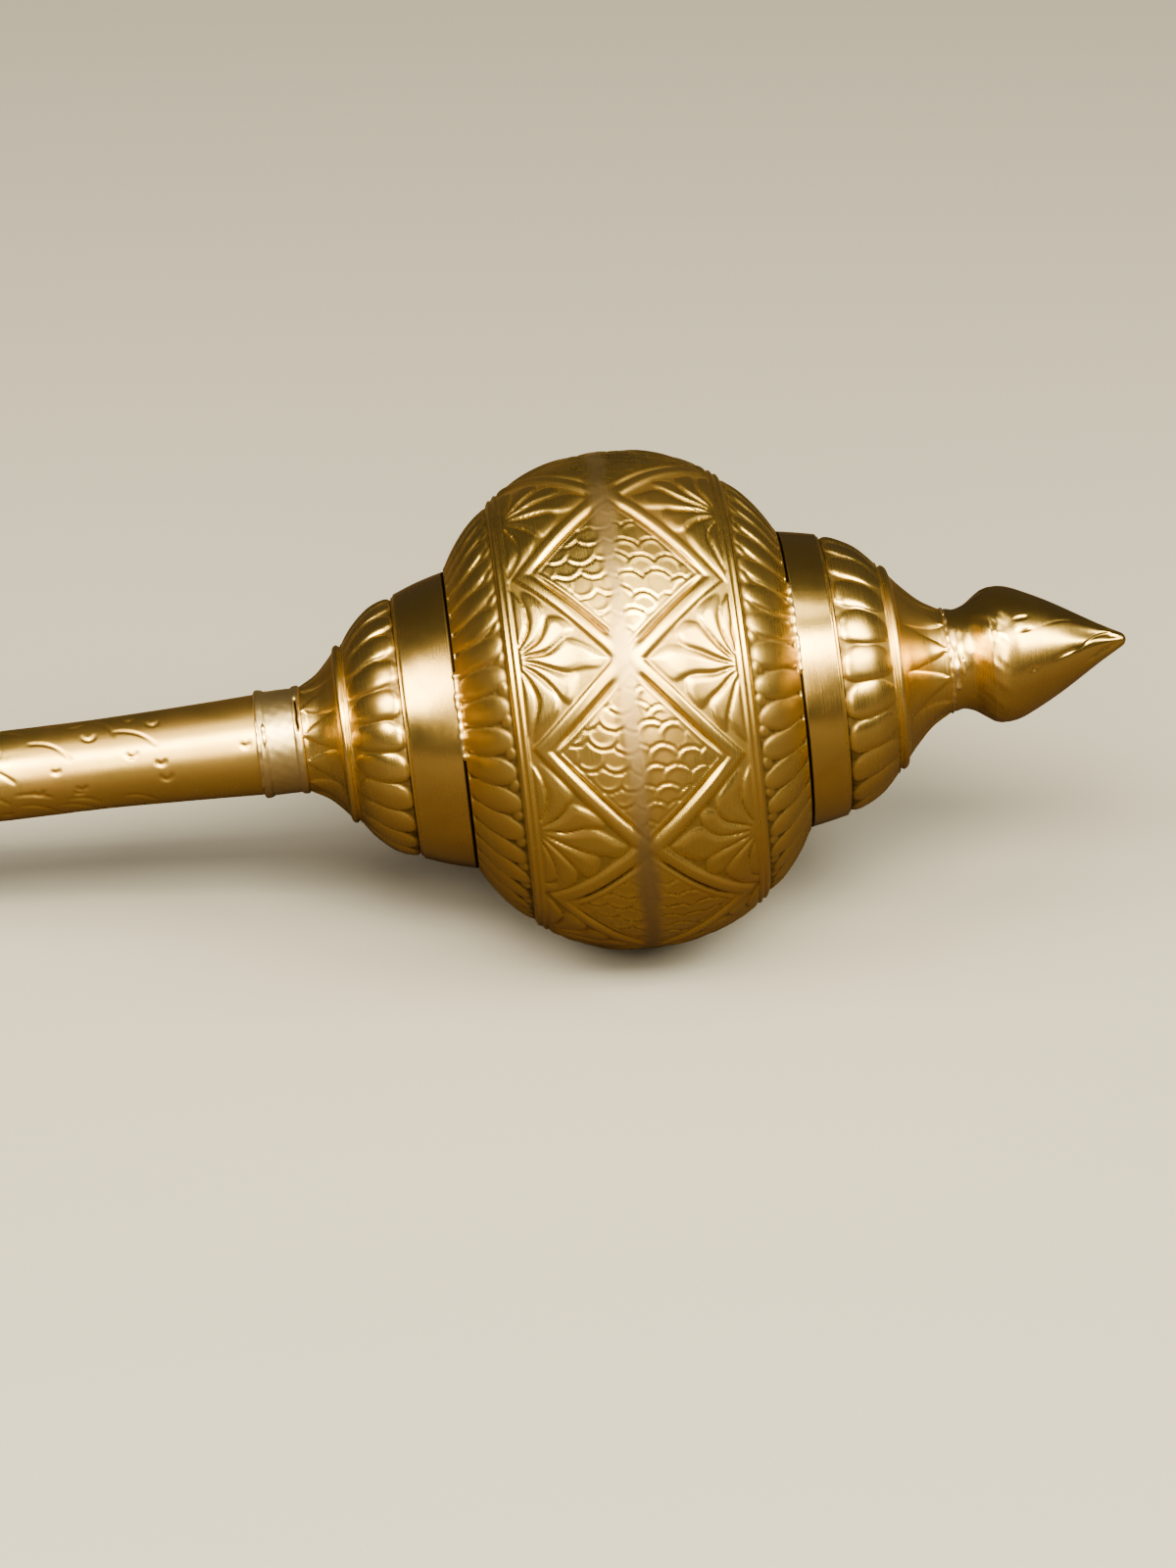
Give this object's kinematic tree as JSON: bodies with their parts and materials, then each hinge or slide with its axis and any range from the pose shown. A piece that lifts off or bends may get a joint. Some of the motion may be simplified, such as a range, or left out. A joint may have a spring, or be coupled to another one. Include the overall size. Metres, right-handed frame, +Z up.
{
  "type": "ceremonial mace",
  "caption": "Ceremonial mace in gilt sheet brass: an embossed globe head between lobed caps, a pointed finial, and an engraved tubular handle with a round end knob, lying at rest.",
  "frame": {"origin": "on the ground, under the middle of the mace's length and width", "axes": "+X along the ground from the knob towards the finial, +Z up; the mace's own axis rises 7 degrees towards +X"},
  "size_m": [0.61, 0.1506, 0.1497],
  "materials": {
    "gilt_brass": "gilt brass, polished, with fine turning lines, brown dirt in the grooves and worn high spots",
    "embossed_brass": "gilt brass, chased and punched, glossy on the ridges and dark brown in the grooves, dull along the filed joint",
    "handle_brass": "gilt brass, satin from handling, with a shallow engraved vine",
    "pale_brass": "paler silvery-tan brass, soldered and roughly filed"
  },
  "bodies": {
    "root": {"knob": "handle_brass", "shaft": "handle_brass", "collar": "pale_brass", "rear_cap": "gilt_brass", "rear_globe_bowl": "embossed_brass", "front_globe_bowl": "embossed_brass", "front_cap": "gilt_brass", "finial": "gilt_brass"}
  },
  "joints": []
}
